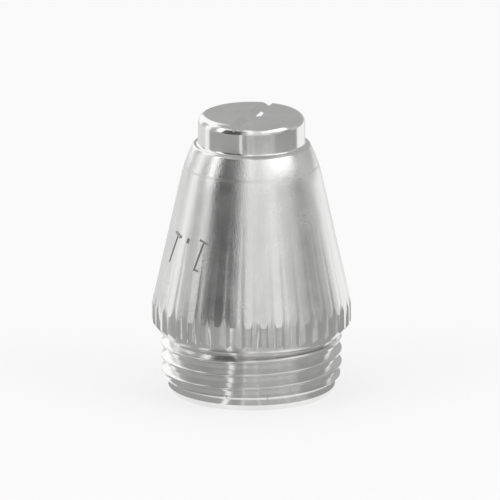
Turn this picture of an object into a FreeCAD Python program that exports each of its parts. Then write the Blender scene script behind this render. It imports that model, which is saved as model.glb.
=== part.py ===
import FreeCAD, Part
import math
import os

# Nozzle of a hand plasma cutting torch: one piece, turned from copper bar, knurled, threaded,
# slotted and silver plated. The thread is shown by its shank, turned to the crests. The origin is the centre of the seating face, and +Z runs along the
# axis to the cutting end. Sizes are in millimetres and angles in degrees.

# Seating end: a plain pilot ring with a bevelled foot
pilot_length = 1.3            # seating face to the foot of the thread
pilot_bevel_width = 0.4
pilot_bevel_height = 0.7

# Shank of the thread, M20 x 1.5 right-hand; the pilot is turned to the size of its roots
thread_radius = 10.0          # over the crests
thread_depth = 0.75
thread_length = 5.0

# Undercut between the thread and the band
undercut_length = 0.6
undercut_depth = 0.2          # below the roots of the thread

# Knurled band, the grip for screwing the nozzle in
band_radius = 11.0
band_length = 2.0
band_bevel_width = 0.85
band_bevel_height = 1.1
knurl_count = 40
knurl_phase = 4.5             # angle of the first groove from +X
knurl_depth = 0.34            # at half the band's length
knurl_lean = 1.8              # the floor of a groove leans out towards the tip
knurl_angle = 122.0           # between the two flanks of a groove

# Body: a straight cone that turns in towards the neck
cone_length = 14.2
cone_slope = 12.5             # half-angle
crown_length = 4.0            # the arched stretch above the cone
neck_radius = 6.45
neck_bevel = 0.2

# Tip: a short spigot with a rounded rim
tip_radius = 5.92
tip_length = 3.35
tip_round = 1.0

# Cross slots in the end face, which break the arc's flow outwards
slot_width = 1.34
slot_angle = 90.0

# Bore: seat for the swirl ring, chamber round the electrode, nose cone, orifice and flare
seat_radius = 7.5
seat_depth = 9.0
seat_bevel = 0.3
chamber_mouth_radius = 6.2
chamber_end_radius = 4.6
chamber_length = 13.0
nose_angle = 45.0             # half-angle of the cone that leads into the orifice
orifice_radius = 0.55
flare_radius = 1.35
flare_angle = 45.0            # half-angle

# Heights above the seating face, from the sizes above
thread_base = pilot_length
thread_top = thread_base + thread_length
band_base = thread_top + undercut_length
land_base = band_base + band_bevel_height
cone_base = land_base + band_length
crown_base = cone_base + cone_length
tip_base = crown_base + crown_length
tip_top = tip_base + tip_length

root_radius = thread_radius - thread_depth
axis_z = FreeCAD.Vector(0, 0, 1)
centre = FreeCAD.Vector(0, 0, 0)
clear = 1.0                   # how far a cutting tool runs past what it cuts


def at(radius, height):
    """A point of a half-section, in the plane of X and Z."""
    return FreeCAD.Vector(radius, 0, height)


def turned(edges):
    """The solid that a closed half-section sweeps round the axis."""
    face = Part.Face(Part.Wire(edges))
    return face.revolve(centre, axis_z, 360)


def lines(points):
    """Straight edges from point to point."""
    return [Part.makeLine(a, b) for a, b in zip(points, points[1:])]


def closed(points):
    """Straight edges round a closed outline."""
    return lines(points + points[:1])


def crown_arc(start, end):
    """The arc from the top of the cone to the neck, tangent to the cone."""
    slope = math.radians(cone_slope)
    chord = end - start
    turn = math.atan2(-chord.x, chord.z) - slope
    radius = chord.Length / (2 * math.sin(turn))
    hub = start - FreeCAD.Vector(math.cos(slope), 0, math.sin(slope)) * radius
    middle = slope + turn
    top = hub + FreeCAD.Vector(math.cos(middle), 0, math.sin(middle)) * radius
    return Part.Arc(start, top, end).toShape()


def ring_edge(shape, radius, height):
    """The circular edge of a turned shape at that radius and height."""
    for edge in shape.Edges:
        curve = edge.Curve
        if not isinstance(curve, Part.Circle):
            continue
        if abs(curve.Radius - radius) < 1e-6 and abs(curve.Center.z - height) < 1e-6:
            return edge
    raise ValueError("the turned shape has no such edge")


def blank():
    """The outside of the nozzle as turned, before knurl, thread and slots."""
    cone_top_radius = band_radius - cone_length * math.tan(math.radians(cone_slope))
    foot = [
        at(0, 0),
        at(root_radius - pilot_bevel_width, 0),
        at(root_radius, pilot_bevel_height),
        at(root_radius, thread_base),
        at(thread_radius, thread_base + thread_depth),
        at(thread_radius, thread_top),
        at(root_radius - undercut_depth, thread_top),
        at(root_radius - undercut_depth, band_base),
        at(band_radius - band_bevel_width, band_base),
        at(band_radius, land_base),
        at(band_radius, cone_base),
        at(cone_top_radius, crown_base),
    ]
    spigot = [
        at(neck_radius, tip_base),
        at(tip_radius, tip_base),
        at(tip_radius, tip_top),
        at(0, tip_top),
        at(0, 0),
    ]
    shape = turned(lines(foot) + [crown_arc(foot[-1], spigot[0])] + lines(spigot))
    shape = shape.makeFillet(tip_round, [ring_edge(shape, tip_radius, tip_top)])
    return shape.makeChamfer(neck_bevel, [ring_edge(shape, neck_radius, tip_base)])


def knurl_groove():
    """The tool of one knurl groove at +X: two flanks that meet in the floor line."""
    lean = math.tan(math.radians(knurl_lean))
    middle = (land_base + cone_base) / 2
    foot = band_base
    length = cone_base + clear + knurl_depth / math.tan(math.radians(cone_slope)) - foot
    floor = band_radius - knurl_depth - (middle - foot) * lean
    reach = band_radius - floor + clear / 2
    half_mouth = reach * math.tan(math.radians(knurl_angle / 2))
    outline = Part.makePolygon([
        FreeCAD.Vector(floor, 0, foot),
        FreeCAD.Vector(floor + reach, half_mouth, foot),
        FreeCAD.Vector(floor + reach, -half_mouth, foot),
        FreeCAD.Vector(floor, 0, foot),
    ])
    return Part.Face(outline).extrude(FreeCAD.Vector(lean * length, 0, length))


def knurl():
    """All the grooves of the knurl."""
    groove = knurl_groove()
    step = 360 / knurl_count
    return [groove.rotated(centre, axis_z, knurl_phase + n * step) for n in range(knurl_count)]


def cross_slots():
    """Two vee-shaped tools across the end face, along X and along Y."""
    half_angle = math.tan(math.radians(slot_angle / 2))
    depth = slot_width / 2 / half_angle
    half_mouth = slot_width / 2 + clear * half_angle
    reach = tip_radius + clear
    outline = Part.makePolygon([
        FreeCAD.Vector(-reach, 0, tip_top - depth),
        FreeCAD.Vector(-reach, half_mouth, tip_top + clear),
        FreeCAD.Vector(-reach, -half_mouth, tip_top + clear),
        FreeCAD.Vector(-reach, 0, tip_top - depth),
    ])
    slot = Part.Face(outline).extrude(FreeCAD.Vector(2 * reach, 0, 0))
    return [slot, slot.rotated(centre, axis_z, 90)]


def bore():
    """Everything that is hollow, from the mouth of the seat to the flare in the end face."""
    seat_top = seat_depth
    chamber_top = seat_top + chamber_length
    nose_top = chamber_top + (chamber_end_radius - orifice_radius) / math.tan(math.radians(nose_angle))
    flare_slope = math.tan(math.radians(flare_angle))
    flare_base = tip_top - (flare_radius - orifice_radius) / flare_slope
    return turned(closed([
        at(0, -clear),
        at(seat_radius + seat_bevel + clear, -clear),
        at(seat_radius, seat_bevel),
        at(seat_radius, seat_top),
        at(chamber_mouth_radius, seat_top),
        at(chamber_end_radius, chamber_top),
        at(orifice_radius, nose_top),
        at(orifice_radius, flare_base),
        at(flare_radius + clear * flare_slope, tip_top + clear),
        at(0, tip_top + clear),
    ]))


def nozzle():
    """The finished nozzle."""
    return blank().cut(knurl() + cross_slots() + [bore()])


os.makedirs("parts", exist_ok=True)
shape = nozzle()
shape.Solids[0].exportStep("parts/nozzle.step")
print("solids", len(shape.Solids), "faces", len(shape.Faces), "volume", round(shape.Volume, 2))
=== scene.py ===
import math

import bpy
from mathutils import Matrix, Vector

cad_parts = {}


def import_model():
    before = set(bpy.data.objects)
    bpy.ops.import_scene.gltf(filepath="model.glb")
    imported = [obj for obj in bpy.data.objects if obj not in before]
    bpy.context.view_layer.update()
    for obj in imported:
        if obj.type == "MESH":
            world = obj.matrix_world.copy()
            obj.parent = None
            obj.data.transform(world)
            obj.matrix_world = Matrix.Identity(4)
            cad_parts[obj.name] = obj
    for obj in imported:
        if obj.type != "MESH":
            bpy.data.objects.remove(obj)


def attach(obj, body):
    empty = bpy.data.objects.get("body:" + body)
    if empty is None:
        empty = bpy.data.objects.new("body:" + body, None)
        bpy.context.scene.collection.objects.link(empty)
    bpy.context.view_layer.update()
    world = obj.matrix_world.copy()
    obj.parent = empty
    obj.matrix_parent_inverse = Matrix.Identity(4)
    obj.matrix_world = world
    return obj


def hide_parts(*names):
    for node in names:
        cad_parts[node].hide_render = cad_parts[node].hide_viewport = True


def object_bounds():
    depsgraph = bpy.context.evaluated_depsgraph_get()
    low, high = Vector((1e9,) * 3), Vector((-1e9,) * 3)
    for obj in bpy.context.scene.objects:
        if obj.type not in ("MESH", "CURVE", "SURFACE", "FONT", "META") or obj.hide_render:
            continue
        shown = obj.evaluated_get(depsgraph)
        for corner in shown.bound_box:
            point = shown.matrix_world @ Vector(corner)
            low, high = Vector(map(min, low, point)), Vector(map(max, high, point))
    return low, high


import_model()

cad_low, cad_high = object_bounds()

# The nozzle is modelled in millimetres, as on its drawing, and brought to metres at the end.
# Angles are in degrees, radii are from the axis, and heights are from the seating face.
mm = 0.001
weld = 0.0005                 # points closer than this become one
turn_steps = 360              # faces round the turned surfaces
small_round = 0.5             # rounds under this size are drawn with fewer steps
small_round_steps = 4
round_steps = 12
sharp_angle = 32.0            # edges that turn more than this stay crisp
skin = 0.01                   # how far a cutting tool or a trim stands past a surface

root_radius = 9.25
foot_bevel_width = 0.4
foot_bevel_height = 0.7
thread_base = 1.3
thread_top = 6.3
thread_radius = 10.0
thread_pitch = 1.5
thread_crest = 0.19
thread_flank = 30.0
thread_start = 1.61           # height of a crest at +X
thread_seat = 0.25            # how deep the ridge's base stands in the core
thread_crest_round = 0.08
thread_turns = 7              # enough to pass both ends before the ridge is trimmed
undercut_depth = 0.2

band_base = 6.9
land_base = 8.0
cone_base = 10.0
band_radius = 11.0
band_bevel_width = 0.85
knurl_count = 40
knurl_phase = 4.5
knurl_depth = 0.34
knurl_lean = 1.8
knurl_flank_radius = 1.35
knurl_floor_slope = 13.5
knurl_steps = 8               # edges across each flank
knurl_clear = 0.09            # how far the tool's mouth stands above the band
knurl_top = 12.6              # above the tips of the arches

crown_corner = (7.39, 26.283)  # where the cone's line meets the tangent at the neck
crown_round = 16.0
tip_base = 28.2
tip_top = cad_high.z / mm
neck_radius = 6.45
tip_radius = 5.92
slot_width = 1.34
slot_reach = 7.0              # half the length of the slots' tool

seat_radius = 7.5
seat_top = 9.0
seat_bevel = 0.3
chamber_mouth_radius = 6.2
chamber_end_radius = 4.6
chamber_top = 22.0
nose_top = 26.05
orifice_radius = 0.55
flare_radius = 1.35

cone_slope = 12.5
mark_height = 17.3            # middle of the engraved size number, which reads with the tip down
mark_depth = 0.1
mark_stroke = 0.26
mark_tilt = 15.0
mark_digits = (252, 224.5)    # directions of the two digits
mark_point = 240


# ---- helpers for modelling

def deselect():
    bpy.ops.object.select_all(action="DESELECT")


def open_piece(piece):
    """Opens one piece for editing, all of it selected."""
    deselect()
    piece.select_set(True)
    bpy.context.view_layer.objects.active = piece
    bpy.ops.object.mode_set(mode="EDIT")
    bpy.ops.mesh.select_all(action="SELECT")


def weld_and_close():
    """Merges doubled points, turns the faces outwards and leaves edit mode."""
    bpy.ops.mesh.select_all(action="SELECT")
    bpy.ops.mesh.remove_doubles(threshold=weld)
    bpy.ops.mesh.normals_make_consistent(inside=False)
    bpy.ops.object.mode_set(mode="OBJECT")


def outline(name, points):
    """A chain of edges, drawn by extruding one point to the next. It stays open for editing."""
    deselect()
    bpy.ops.mesh.primitive_plane_add(size=1)
    piece = bpy.context.object
    piece.name = name
    bpy.ops.object.mode_set(mode="EDIT")
    bpy.ops.mesh.select_all(action="SELECT")
    bpy.ops.mesh.merge(type="CENTER")
    bpy.ops.mesh.select_all(action="SELECT")
    bpy.ops.transform.translate(value=points[0])
    for start, end in zip(points, points[1:]):
        bpy.ops.mesh.extrude_region_move(TRANSFORM_OT_translate={"value": end - start})
    return piece


def sweep(steps, degrees):
    """Sweeps the open outline round the axis."""
    bpy.ops.mesh.select_all(action="SELECT")
    bpy.ops.mesh.spin(steps=steps, angle=math.radians(degrees), center=(0, 0, 0), axis=(0, 0, 1))


def rounded(corners):
    """The points of a closed outline given by (radius, height, round) corners."""
    points = []
    for i, (radius, height, size) in enumerate(corners):
        corner = Vector((radius, 0, height))
        if size == 0:
            points.append(corner)
            continue
        before = corners[i - 1]
        after = corners[(i + 1) % len(corners)]
        back = (Vector((before[0], 0, before[1])) - corner).normalized()
        ahead = (Vector((after[0], 0, after[1])) - corner).normalized()
        half = back.angle(ahead) / 2
        hub = corner + (back + ahead).normalized() * size / math.sin(half)
        start = corner + back * size / math.tan(half) - hub
        end = corner + ahead * size / math.tan(half) - hub
        first = math.atan2(start.z, start.x)
        turn = math.remainder(math.atan2(end.z, end.x) - first, 2 * math.pi)
        steps = small_round_steps if size < small_round else round_steps
        for k in range(steps + 1):
            angle = first + turn * k / steps
            points.append(hub + size * Vector((math.cos(angle), 0, math.sin(angle))))
    return points


def turned(name, corners):
    """A solid turned from a closed outline."""
    points = rounded(corners)
    piece = outline(name, points + points[:1])
    sweep(turn_steps, 360)
    weld_and_close()
    return piece


def combine(piece, operation, tool):
    """Cuts, joins or trims a piece with a tool. The tool's faces bring their own finish."""
    modifier = piece.modifiers.new("combine", "BOOLEAN")
    modifier.operation = operation
    modifier.solver = "EXACT"
    modifier.material_mode = "TRANSFER"
    modifier.object = tool
    deselect()
    piece.select_set(True)
    bpy.context.view_layer.objects.active = piece
    bpy.ops.object.modifier_apply(modifier=modifier.name)
    bpy.data.objects.remove(tool)


# ---- finishes

def sockets(group, side, names):
    """Plain number sockets on one side of a node group."""
    for name in names:
        group.interface.new_socket(name, in_out=side, socket_type="NodeSocketFloat")


def math_node(tree, operation, first, second):
    """A Math node fed by sockets or by plain numbers."""
    node = tree.nodes.new("ShaderNodeMath")
    node.operation = operation
    for socket, value in zip(node.inputs, (first, second)):
        if isinstance(value, (int, float)):
            socket.default_value = value
        else:
            tree.links.new(value, socket)
    return node.outputs[0]


def noise_node(tree, vector, scale, detail):
    """A Noise node; its scale is a plain number or a socket."""
    node = tree.nodes.new("ShaderNodeTexNoise")
    node.inputs["Detail"].default_value = detail
    tree.links.new(vector, node.inputs["Vector"])
    if isinstance(scale, (int, float)):
        node.inputs["Scale"].default_value = scale
    else:
        tree.links.new(scale, node.inputs["Scale"])
    return node.outputs["Fac"]


def blast_grain_group():
    """Fine pits of bead blasting, and the soft unevenness of the plating."""
    group = bpy.data.node_groups.new("blast_grain", "ShaderNodeTree")
    sockets(group, "INPUT", ("Grain Size", "Grain Depth"))
    sockets(group, "OUTPUT", ("Height", "Tone"))
    given = group.nodes.new("NodeGroupInput")
    result = group.nodes.new("NodeGroupOutput")
    place = group.nodes.new("ShaderNodeTexCoord").outputs["Object"]
    scale = math_node(group, "DIVIDE", 1.0, given.outputs["Grain Size"])
    grain = noise_node(group, place, scale, 2.0)
    centred = math_node(group, "SUBTRACT", grain, 0.5)
    height = math_node(group, "MULTIPLY", centred, given.outputs["Grain Depth"])
    soft = noise_node(group, place, math_node(group, "DIVIDE", scale, 16.0), 3.0)
    group.links.new(height, result.inputs["Height"])
    group.links.new(soft, result.inputs["Tone"])
    return group


def tool_lines_group():
    """The fine rings that a turning tool leaves, along the axis and across end faces."""
    group = bpy.data.node_groups.new("tool_lines", "ShaderNodeTree")
    sockets(group, "INPUT", ("Line Pitch", "Line Depth"))
    sockets(group, "OUTPUT", ("Height",))
    given = group.nodes.new("NodeGroupInput")
    result = group.nodes.new("NodeGroupOutput")
    place = group.nodes.new("ShaderNodeTexCoord").outputs["Object"]
    split = group.nodes.new("ShaderNodeSeparateXYZ")
    group.links.new(place, split.inputs[0])
    x, y, z = split.outputs
    across = math_node(group, "MULTIPLY", x, x)
    along = math_node(group, "MULTIPLY", y, y)
    radius = math_node(group, "SQRT", math_node(group, "ADD", across, along), 0.0)
    rings = group.nodes.new("ShaderNodeCombineXYZ")
    group.links.new(radius, rings.inputs[0])
    group.links.new(z, rings.inputs[1])
    scale = math_node(group, "DIVIDE", 1.0, given.outputs["Line Pitch"])
    lines = noise_node(group, rings.outputs[0], scale, 1.0)
    centred = math_node(group, "SUBTRACT", lines, 0.5)
    height = math_node(group, "MULTIPLY", centred, given.outputs["Line Depth"])
    group.links.new(height, result.inputs["Height"])
    return group


blast_grain = blast_grain_group()
tool_lines = tool_lines_group()


def placed(tree, group, values):
    """One node group in a material, with its own values."""
    node = tree.nodes.new("ShaderNodeGroup")
    node.node_tree = group
    for name, value in values.items():
        node.inputs[name].default_value = value
    return node


def silver(name, shade, roughness, grain_size, grain_depth, line_pitch, line_depth):
    """Silver plate: sizes in metres, shade as a grey level."""
    material = bpy.data.materials.new(name)
    material.use_nodes = True
    tree = material.node_tree
    shader = tree.nodes["Principled BSDF"]
    shader.inputs["Metallic"].default_value = 1.0
    grain = placed(tree, blast_grain, {"Grain Size": grain_size, "Grain Depth": grain_depth})
    lines = placed(tree, tool_lines, {"Line Pitch": line_pitch, "Line Depth": line_depth})

    ramp = tree.nodes.new("ShaderNodeValToRGB")
    ramp.color_ramp.elements[0].position = 0.35
    ramp.color_ramp.elements[0].color = (shade * 0.93, shade * 0.93, shade * 0.925, 1)
    ramp.color_ramp.elements[1].position = 0.65
    ramp.color_ramp.elements[1].color = (shade, shade * 0.998, shade * 0.985, 1)
    tree.links.new(grain.outputs["Tone"], ramp.inputs["Fac"])
    tree.links.new(ramp.outputs["Color"], shader.inputs["Base Color"])

    spread = tree.nodes.new("ShaderNodeMapRange")
    spread.inputs["From Min"].default_value = 0.3
    spread.inputs["From Max"].default_value = 0.7
    spread.inputs["To Min"].default_value = roughness - 0.04
    spread.inputs["To Max"].default_value = roughness + 0.04
    tree.links.new(grain.outputs["Tone"], spread.inputs["Value"])
    tree.links.new(spread.outputs["Result"], shader.inputs["Roughness"])

    bump = tree.nodes.new("ShaderNodeBump")
    bump.inputs["Distance"].default_value = 1.0
    height = math_node(tree, "ADD", grain.outputs["Height"], lines.outputs["Height"])
    tree.links.new(height, bump.inputs["Height"])
    tree.links.new(bump.outputs["Normal"], shader.inputs["Normal"])
    return material


finishes = {
    "turned": silver("silver_turned", 0.93, 0.16, 0.0003, 0.000003, 0.00008, 0.0000015),
    "blasted": silver("silver_blasted", 0.93, 0.24, 0.00017, 0.00002, 0.00008, 0.0),
    "rolled": silver("silver_rolled", 0.93, 0.2, 0.0003, 0.000006, 0.00008, 0.0),
    "milled": silver("silver_milled", 0.9, 0.25, 0.0002, 0.00001, 0.0001, 0.0),
    "bored": silver("silver_bored", 0.85, 0.3, 0.0003, 0.000004, 0.0001, 0.000002),
    # The engraved strokes' darker base colour is painted shade in the shallow cuts. Their higher roughness
    # and grain are the cut's own finish.
    "engraved": silver("silver_engraved_painted_shade", 0.5, 0.45, 0.00015, 0.00001, 0.0001, 0.0),
}


def finish_all(piece, name):
    piece.data.materials.clear()
    piece.data.materials.append(finishes[name])


# ---- the turned body

def body():
    """The turned piece, bright outside, blasted on the cone and plain in the bore."""
    piece = turned("nozzle_body", [
        (root_radius - foot_bevel_width, 0, 0.08),
        (root_radius, foot_bevel_height, 0.15),
        (root_radius, thread_top, 0),
        (root_radius - undercut_depth, thread_top, 0.05),
        (root_radius - undercut_depth, band_base, 0.08),
        (band_radius - band_bevel_width, band_base, 0.08),
        (band_radius, land_base, 0.1),
        (band_radius, cone_base, 0.1),
        (*crown_corner, crown_round),
        (neck_radius, tip_base, 0.3),
        (tip_radius, tip_base, 0.3),
        (tip_radius, tip_top, 1.0),
        (flare_radius, tip_top, 0.06),
        (orifice_radius, tip_top - (flare_radius - orifice_radius), 0.05),
        (orifice_radius, nose_top, 0.1),
        (chamber_end_radius, chamber_top, 0.3),
        (chamber_mouth_radius, seat_top, 0.1),
        (seat_radius, seat_top, 0.15),
        (seat_radius, seat_bevel, 0.05),
        (seat_radius + seat_bevel, 0, 0.05),
    ])
    for name in ("turned", "blasted", "bored"):
        piece.data.materials.append(finishes[name])
    for face in piece.data.polygons:
        radius = Vector((face.center.x, face.center.y)).length
        height = face.center.z
        inward = face.normal.x * face.center.x + face.normal.y * face.center.y < -0.1 * radius
        if radius < seat_radius + seat_bevel and height < nose_top and (inward or radius < seat_radius):
            face.material_index = 2
        elif cone_base + 0.1 < height < tip_base - 0.3 and radius > chamber_mouth_radius:
            face.material_index = 1
    return piece


def thread():
    """The ridge of the thread, wound as a solid and trimmed to a 45 degree lead-in."""
    def half_width(radius):
        return thread_crest / 2 + (thread_radius - radius) * math.tan(math.radians(thread_flank))

    inner = root_radius - thread_seat
    foot = thread_start - 2 * thread_pitch
    section = rounded([
        (inner, foot - half_width(inner), 0),
        (thread_radius, foot - thread_crest / 2, thread_crest_round),
        (thread_radius, foot + thread_crest / 2, thread_crest_round),
        (inner, foot + half_width(inner), 0),
    ])
    ridge = outline("thread_ridge", section + section[:1])
    bpy.ops.mesh.select_all(action="SELECT")
    bpy.ops.mesh.remove_doubles(threshold=weld)
    bpy.ops.object.mode_set(mode="OBJECT")
    screw = ridge.modifiers.new("wind", "SCREW")
    screw.axis = "Z"
    screw.angle = 2 * math.pi
    screw.screw_offset = thread_pitch
    screw.iterations = thread_turns
    screw.steps = turn_steps
    screw.render_steps = turn_steps
    bpy.ops.object.modifier_apply(modifier=screw.name)
    open_piece(ridge)
    bpy.ops.mesh.select_all(action="DESELECT")
    bpy.ops.mesh.select_mode(type="VERT")
    bpy.ops.mesh.select_non_manifold()
    bpy.ops.mesh.fill_holes(sides=0)
    weld_and_close()
    finish_all(ridge, "turned")

    core = inner - 5 * skin
    over = thread_radius + skin
    limits = turned("thread_limits", [
        (core, thread_base, 0),
        (root_radius, thread_base, 0),
        (over, thread_base + over - root_radius, 0),
        (over, thread_top, 0),
        (core, thread_top, 0),
    ])
    finish_all(limits, "turned")
    combine(ridge, "INTERSECT", limits)
    return ridge


def knurl():
    """The wheel's teeth: one groove with two round flanks, copied round the band."""
    lean = math.tan(math.radians(knurl_lean))
    length = knurl_top - band_base
    floor = band_radius - knurl_depth - ((land_base + cone_base) / 2 - band_base) * lean
    first = math.radians(knurl_floor_slope)
    reach = band_radius + knurl_clear - floor
    last = math.acos(math.cos(first) - reach / knurl_flank_radius)

    def flank(angle, side):
        depth = knurl_flank_radius * (math.cos(first) - math.cos(angle))
        width = knurl_flank_radius * (math.sin(angle) - math.sin(first))
        return Vector((floor + depth, side * width, band_base - skin))

    angles = [first + (last - first) * k / knurl_steps for k in range(knurl_steps + 1)]
    points = [flank(angle, -1) for angle in reversed(angles)] + [flank(angle, 1) for angle in angles[1:]]
    groove = outline("knurl_groove", points + points[:1])
    bpy.ops.mesh.select_all(action="SELECT")
    bpy.ops.mesh.remove_doubles(threshold=weld)
    bpy.ops.mesh.edge_face_add()
    bpy.ops.mesh.extrude_region_move(TRANSFORM_OT_translate={"value": Vector((lean * length, 0, length))})
    weld_and_close()
    groove.data.transform(Matrix.Rotation(math.radians(knurl_phase), 4, "Z"))
    open_piece(groove)
    turn = 2 * math.pi / knurl_count
    copies = knurl_count - 1
    bpy.ops.mesh.spin(steps=copies, angle=turn * copies, dupli=True, center=(0, 0, 0), axis=(0, 0, 1))
    weld_and_close()
    finish_all(groove, "rolled")
    return groove


def slot(turn):
    """The tool of one vee slot across the end face."""
    deselect()
    bpy.ops.mesh.primitive_cube_add(size=2)
    tool = bpy.context.object
    size = Matrix.Diagonal((slot_reach, 1.0, 1.0, 1.0))
    on_edge = Matrix.Rotation(math.radians(45), 4, "X")
    lift = Matrix.Translation((0, 0, tip_top - slot_width / 2 + math.sqrt(2)))
    across = Matrix.Rotation(math.radians(turn), 4, "Z")
    tool.data.transform(across @ lift @ on_edge @ size)
    finish_all(tool, "milled")
    return tool


def stroke(azimuth, height, across, up, width, tall):
    """The tool of one straight engraved stroke in the cone's face."""
    radius = band_radius - (height - cone_base) * math.tan(math.radians(cone_slope))
    angle = math.radians(azimuth)
    place = Matrix.Translation((radius * math.cos(angle), radius * math.sin(angle), height))
    face = Matrix.Rotation(angle + math.pi / 2, 4, "Z") @ Matrix.Rotation(math.radians(-cone_slope), 4, "X")
    lean = Matrix.Rotation(math.radians(mark_tilt), 4, "Y")
    deselect()
    bpy.ops.mesh.primitive_cube_add(size=1)
    tool = bpy.context.object
    offset = Matrix.Translation((across, 0, up))
    tool.data.transform(place @ face @ lean @ offset @ Matrix.Diagonal((width, 2 * mark_depth, tall, 1.0)))
    # The cut's faces take the darker engraved silver, whose base colour paints shade into the stroke.
    finish_all(tool, "engraved")
    return tool


def mark():
    """The bore's size, 1.1, in plain strokes: each digit is a stem, a foot and a flag."""
    tools = [stroke(mark_point, mark_height + 1.3, 0, 0, 0.45, 0.6)]
    for azimuth in mark_digits:
        tools.append(stroke(azimuth, mark_height, 0, 0, mark_stroke, 3.6))
        tools.append(stroke(azimuth, mark_height, 0, 1.65, 1.25, mark_stroke))
        tools.append(stroke(azimuth, mark_height, 0.3, -1.6, 0.6, mark_stroke))
    return tools


def nozzle():
    """The finished piece, which stands for the whole CAD model."""
    piece = body()
    combine(piece, "UNION", thread())
    combine(piece, "DIFFERENCE", knurl())
    for turn in (0, 90):
        combine(piece, "DIFFERENCE", slot(turn))
    for tool in mark():
        combine(piece, "DIFFERENCE", tool)
    piece.data.transform(Matrix.Scale(mm, 4))
    deselect()
    piece.select_set(True)
    bpy.context.view_layer.objects.active = piece
    bpy.ops.object.shade_smooth_by_angle(angle=math.radians(sharp_angle))
    weighted = piece.modifiers.new("even", "WEIGHTED_NORMAL")
    weighted.keep_sharp = True
    bpy.ops.object.modifier_apply(modifier=weighted.name)
    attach(piece, "root")
    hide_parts("nozzle")
    return piece


# ---- the studio

camera_azimuth = 20.0
camera_elevation = 15.7
camera_distance = 1.7
view_width = 0.05531          # what the frame takes in at the nozzle
aim_share = 0.5046            # height of the aim, as a share of the nozzle's
front = camera_azimuth - 90   # direction from the nozzle to the camera, from +X
card_distance = 0.5
card_step = 4.0               # degrees from edge to edge of a curved card
dome_radius = 0.9
table_card_height = 0.0001
table_card_inner = 0.0096     # outside the nozzle's foot
floor_width = 6.0
lamp_width = 0.45
lamp_height = 0.5


def glow(name, brightness):
    """A plain light grey surface that shines evenly."""
    material = bpy.data.materials.new(name)
    material.use_nodes = True
    tree = material.node_tree
    tree.nodes.clear()
    emission = tree.nodes.new("ShaderNodeEmission")
    emission.inputs["Color"].default_value = (1, 1, 1, 1)
    emission.inputs["Strength"].default_value = brightness
    output = tree.nodes.new("ShaderNodeOutputMaterial")
    tree.links.new(emission.outputs[0], output.inputs["Surface"])
    return material


def as_card(piece, brightness):
    """Only the reflections in the metal show a card."""
    piece.data.materials.clear()
    piece.data.materials.append(glow(piece.name + "_glow", brightness))
    for part in ("visible_camera", "visible_diffuse", "visible_shadow", "visible_transmission"):
        setattr(piece, part, False)


def wall_card(name, start, end, low, high, brightness):
    """A curved card round the nozzle, between two directions and two elevations."""
    steps = max(2, round((high - low) / card_step))
    points = []
    for k in range(steps + 1):
        rise = math.radians(low + (high - low) * k / steps)
        points.append(card_distance * Vector((math.cos(rise), 0, math.sin(rise))))
    card = outline(name, points)
    sweep(max(3, round((end - start) / card_step)), end - start)
    bpy.ops.object.mode_set(mode="OBJECT")
    card.data.transform(Matrix.Rotation(math.radians(front + start), 4, "Z"))
    as_card(card, brightness)


def painted_table_reflection(name, start, end, brightness):
    """A flat glowing card just above the table, between two directions, seen only in the metal's
    reflections. Its brightness is a painted reflection of the table: lighter where the softboxes light it,
    darker where it lies in shade.
    """
    inner = Vector((table_card_inner, 0, table_card_height))
    card = outline(name, [inner, Vector((card_distance, 0, table_card_height))])
    sweep(max(3, round((end - start) / card_step)), end - start)
    bpy.ops.object.mode_set(mode="OBJECT")
    card.data.transform(Matrix.Rotation(math.radians(front + start), 4, "Z"))
    as_card(card, brightness)


def cards():
    """What the metal reflects. Directions run from the camera, towards its right."""
    deselect()
    bpy.ops.mesh.primitive_uv_sphere_add(segments=48, ring_count=24, radius=dome_radius)
    dome = bpy.context.object
    dome.name = "dome"
    as_card(dome, 0.42)
    wall_card("lens_side", -22, 22, -3, 46, 0.05)
    wall_card("front_right_grey", 22, 41, -3, 46, 0.36)
    wall_card("right_softbox", 41, 92, -3, 50, 1.05)
    wall_card("right_flag", 92, 116, -3, 14, 0.12)
    wall_card("backdrop", 116, 244, 0, 22, 0.52)
    wall_card("left_flag", 244, 262, -3, 30, 0.2)
    wall_card("left_softbox", 262, 331, -3, 52, 1.05)
    wall_card("front_left_grey", 331, 338, -3, 46, 0.3)
    wall_card("high_front", 2, 26, 46, 62, 1.1)
    # Painted reflection of the table: the sides under the softboxes are lighter, and the front and back,
    # which lie in shade, are darker.
    painted_table_reflection("table_front_painted_reflection", -25, 51, 0.36)
    painted_table_reflection("table_right_painted_reflection", 51, 112, 0.72)
    painted_table_reflection("table_back_painted_reflection", 112, 244, 0.33)
    painted_table_reflection("table_left_painted_reflection", 244, 335, 0.72)


def floor():
    """A white table that keeps the nozzle's shadow."""
    deselect()
    bpy.ops.mesh.primitive_plane_add(size=floor_width, location=(0, 0, cad_low.z))
    piece = bpy.context.object
    piece.name = "floor"
    material = bpy.data.materials.new("floor_white")
    material.use_nodes = True
    tree = material.node_tree
    tree.nodes.clear()
    output = tree.nodes.new("ShaderNodeOutputMaterial")
    diffuse = tree.nodes.new("ShaderNodeBsdfDiffuse")
    diffuse.inputs["Color"].default_value = (0.95, 0.95, 0.95, 1)
    emission = tree.nodes.new("ShaderNodeEmission")
    mix = tree.nodes.new("ShaderNodeMixShader")
    tree.links.new(math_node(tree, "MULTIPLY", seen(tree), 0.65), mix.inputs[0])
    tree.links.new(diffuse.outputs[0], mix.inputs[1])
    tree.links.new(emission.outputs[0], mix.inputs[2])
    tree.links.new(mix.outputs[0], output.inputs["Surface"])
    piece.data.materials.append(material)


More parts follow.
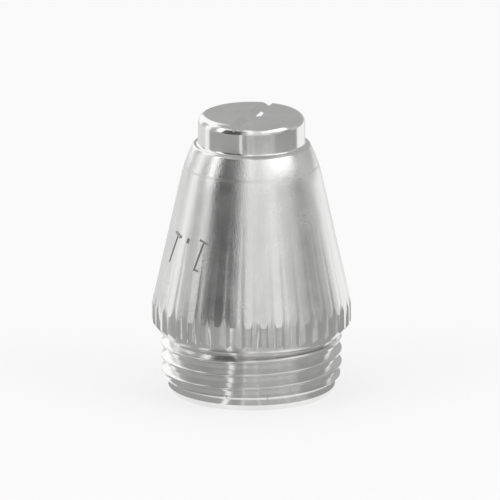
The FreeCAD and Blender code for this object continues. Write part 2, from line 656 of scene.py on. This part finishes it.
def seen(tree):
    """1 for what the eye sees, straight, in a reflection or through glass; 0 for light."""
    path = tree.nodes.new("ShaderNodeLightPath")
    either = math_node(tree, "MAXIMUM", path.outputs["Is Camera Ray"], path.outputs["Is Glossy Ray"])
    return math_node(tree, "MAXIMUM", either, path.outputs["Is Transmission Ray"])


def world():
    """A white room to the eye, a little darker as light."""
    room = bpy.data.worlds.new("studio")
    room.use_nodes = True
    tree = room.node_tree
    strength = math_node(tree, "MULTIPLY", seen(tree), 0.2)
    tree.nodes["Background"].inputs["Color"].default_value = (1, 1, 1, 1)
    tree.links.new(math_node(tree, "ADD", strength, 0.8), tree.nodes["Background"].inputs["Strength"])
    bpy.context.scene.world = room


def lamp(name, direction, distance, rise, watts):
    """A soft lamp that faces the nozzle. Its direction runs as the cards' do."""
    angle = math.radians(front + direction)
    light = bpy.data.lights.new(name, "AREA")
    light.shape = "RECTANGLE"
    light.size = lamp_width
    light.size_y = lamp_height
    light.energy = watts
    holder = bpy.data.objects.new(name, light)
    bpy.context.collection.objects.link(holder)
    place = Vector((distance * math.cos(angle), distance * math.sin(angle), rise))
    holder.location = place
    holder.rotation_euler = place.to_track_quat("Z", "Y").to_euler()


def camera():
    """A long lens, a little above the nozzle."""
    lens = bpy.data.cameras.new("camera")
    lens.sensor_width = 36
    lens.lens = lens.sensor_width * camera_distance / view_width
    lens.shift_x = -0.0031
    lens.clip_end = 10
    holder = bpy.data.objects.new("camera", lens)
    bpy.context.collection.objects.link(holder)
    turn = math.radians(camera_azimuth)
    rise = math.radians(camera_elevation)
    away = Vector((math.sin(turn) * math.cos(rise), -math.cos(turn) * math.cos(rise), math.sin(rise)))
    aim = Vector((0, 0, aim_share * cad_high.z))
    holder.location = aim + away * camera_distance
    holder.rotation_euler = away.to_track_quat("Z", "Y").to_euler()
    bpy.context.scene.camera = holder


nozzle()
floor()
cards()
world()
lamp("lamp_left", -60, 0.55, 0.3, 0.7)
lamp("lamp_right", 65, 0.55, 0.3, 0.7)
camera()
bpy.context.scene.view_settings.view_transform = "Standard"
